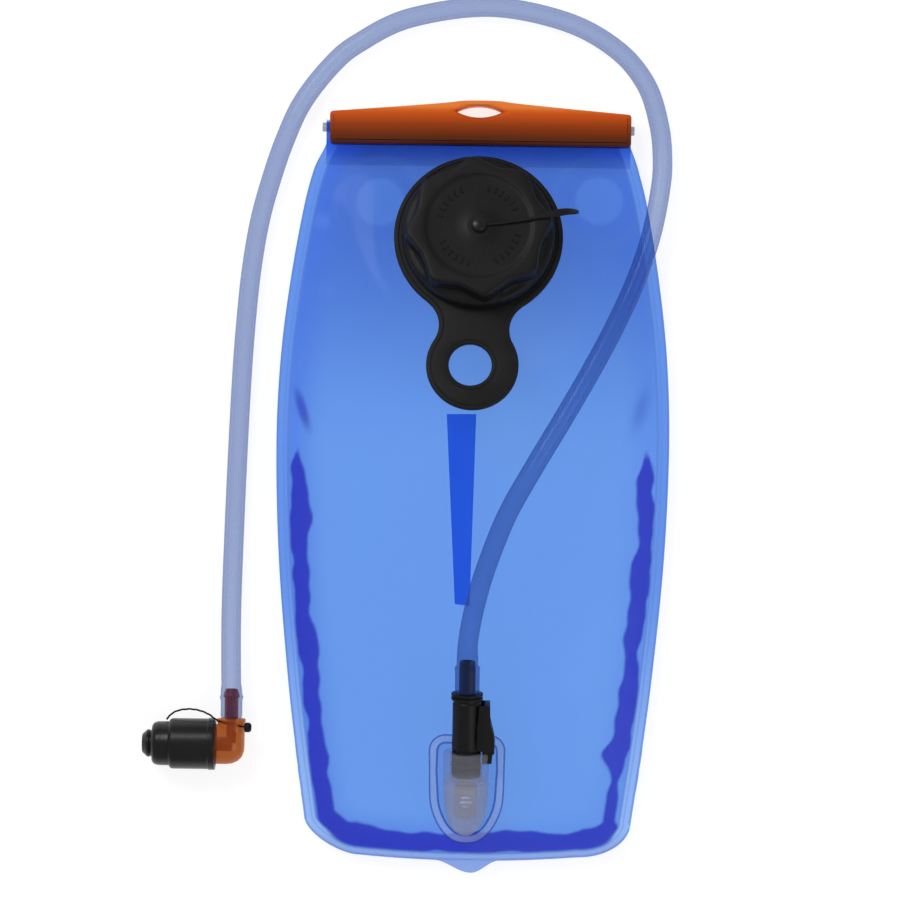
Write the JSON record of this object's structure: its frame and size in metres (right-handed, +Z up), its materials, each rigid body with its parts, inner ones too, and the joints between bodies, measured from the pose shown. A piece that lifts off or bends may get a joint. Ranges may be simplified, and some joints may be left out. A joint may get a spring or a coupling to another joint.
{
  "type": "hydration bladder",
  "caption": "Slide-seal drinking-water bladder with a screw filler port, a finger loop, a quick-release drinking tube and a covered bite valve.",
  "frame": {"origin": "middle of the underside of the bag and slide bar's bounding box, the free tube left out", "axes": "+Z up from the surface the bag lies on, +Y from the outlet to the slide bar, +X to the bag's right seen from above"},
  "size_m": [0.2506, 0.421, 0.0462],
  "materials": {
    "film_blue": "clear blue film",
    "film_deep": "deep blue film",
    "orange": "satin",
    "black": "satin",
    "frosted": "frosted, translucent",
    "tube_blue": "translucent",
    "rubber": "matte",
    "white_plastic": "satin",
    "silicone": "milky, translucent",
    "steel": "plain"
  },
  "bodies": {
    "bag": {"front_film": "film_blue", "back_film": "film_blue", "baffle_web": "film_deep", "seal_rail": "frosted", "port_handle": "black", "port_neck": "frosted", "tether_ring": "black", "outlet_port": "frosted", "poppet_spring": "steel"},
    "bar": {"slide_bar": "orange"},
    "cap_carrier": {"swivel_button": "black", "cap_tether": "black"},
    "cap": {"screw_cap": "black", "cap_gasket": "rubber"},
    "poppet": {"outlet_poppet": "white_plastic"},
    "hose": {"connector_body": "black", "plug_oring": "rubber", "latch_pin": "steel", "latch_spring": "steel", "drinking_tube": "tube_blue", "elbow": "orange", "core_oring": "rubber", "tether_knob": "black", "shield_tether": "black"},
    "latch": {"release_latch": "black"},
    "valve": {"valve_core": "white_plastic", "bite_valve": "silicone"},
    "shield": {"dirt_shield": "black"}
  },
  "joints": [
    {"name": "bar_slide", "type": "slide", "parent": "bag", "child": "bar", "axis": [1, 0, 0], "range_m": [0, 0.168], "deforming": ["drinking_tube"]},
    {"name": "cap_lift", "type": "slide", "parent": "bag", "child": "cap_carrier", "axis": [0, 0.2419, 0.9703], "range_m": [0, 0.0075]},
    {"name": "cap_turn", "type": "hinge", "parent": "cap_carrier", "child": "cap", "pos_m": [0.0013, 0.119, 0.0181], "axis": [0, 0.2419, 0.9703], "range_deg": [0, 540]},
    {"name": "hose_unplug", "type": "slide", "parent": "bag", "child": "hose", "axis": [0, 0.9848, 0.1736], "range_m": [0, 0.025]},
    {"name": "poppet_close", "type": "slide", "parent": "bag", "child": "poppet", "axis": [0, 0.9848, 0.1736], "range_m": [0, 0.00132]},
    {"name": "latch_press", "type": "hinge", "parent": "hose", "child": "latch", "pos_m": [0.0083, -0.11693, 0.02848], "axis": [0, -0.1736, 0.9848], "range_deg": [0, 5.5], "stiffness_Nm_per_rad": 0.1},
    {"name": "valve_twist", "type": "hinge", "parent": "hose", "child": "valve", "pos_m": [-0.1234, -0.1245, 0.0124], "axis": [-1, 0, 0], "range_deg": [0, 90]},
    {"name": "shield_pull", "type": "slide", "parent": "hose", "child": "shield", "axis": [-1, 0, 0], "range_m": [0, 0.032], "deforming": ["shield_tether"]}
  ],
  "couplings": [
    {"joint": "cap_turn", "follows": "cap_lift", "rad_per_m": 1256.6},
    {"joint": "poppet_close", "follows": "hose_unplug", "ratio": 0.052}
  ]
}
